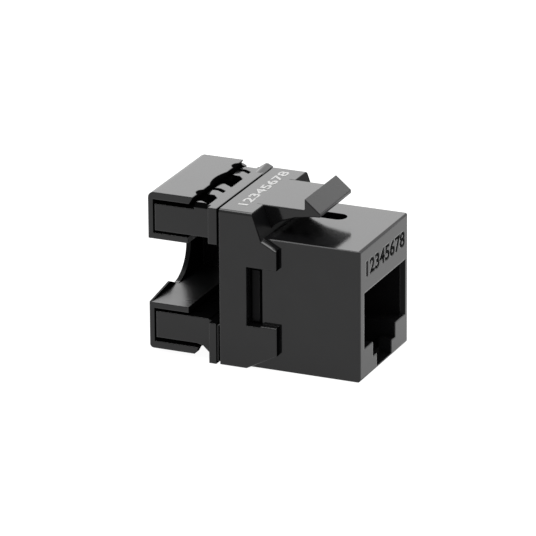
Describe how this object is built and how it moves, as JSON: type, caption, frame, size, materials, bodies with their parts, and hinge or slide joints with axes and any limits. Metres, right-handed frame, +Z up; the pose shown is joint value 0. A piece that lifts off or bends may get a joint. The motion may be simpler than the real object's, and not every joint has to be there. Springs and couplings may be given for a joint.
{
  "type": "keystone jack",
  "caption": "Snap-in network jack with a modular plug port, a flexing latch arm, a rear block of punch-down slots and a pull-off rear cap with a side cable notch.",
  "frame": {"origin": "middle of the bounding box at the base, on the plane that the jack stands on", "axes": "+X out of the plug port, +Y across the port, +Z up, with the latch arm on top"},
  "size_m": [0.0266, 0.0162, 0.0205],
  "materials": {
    "black_plastic": "satin moulded, fine sheen",
    "insert_plastic": "matt moulded",
    "contact_gold": "gold plated",
    "contact_tin": "tin plated",
    "board_laminate": "solder mask"
  },
  "bodies": {
    "jack": {"front_housing": "black_plastic", "contact_carrier": "insert_plastic", "port_contact_1": "contact_gold", "port_contact_2": "contact_gold", "port_contact_3": "contact_gold", "port_contact_4": "contact_gold", "port_contact_5": "contact_gold", "port_contact_6": "contact_gold", "port_contact_7": "contact_gold", "port_contact_8": "contact_gold", "circuit_board": "board_laminate", "rear_housing": "black_plastic", "punch_contact_1": "contact_tin", "punch_contact_2": "contact_tin", "punch_contact_3": "contact_tin", "punch_contact_4": "contact_tin", "punch_contact_5": "contact_tin", "punch_contact_6": "contact_tin", "punch_contact_7": "contact_tin", "punch_contact_8": "contact_tin"},
    "latch": {"latch_arm": "black_plastic"},
    "cap": {"rear_cap": "black_plastic"}
  },
  "joints": [
    {"name": "latch_flex", "type": "hinge", "parent": "jack", "child": "latch", "pos_m": [0.0007, 0, 0.01806], "axis": [0, 1, 0], "range_deg": [0, 14], "stiffness_Nm_per_rad": 0.05},
    {"name": "cap_pull", "type": "slide", "parent": "jack", "child": "cap", "axis": [-1, 0, 0], "range_m": [0, 0.008]}
  ]
}
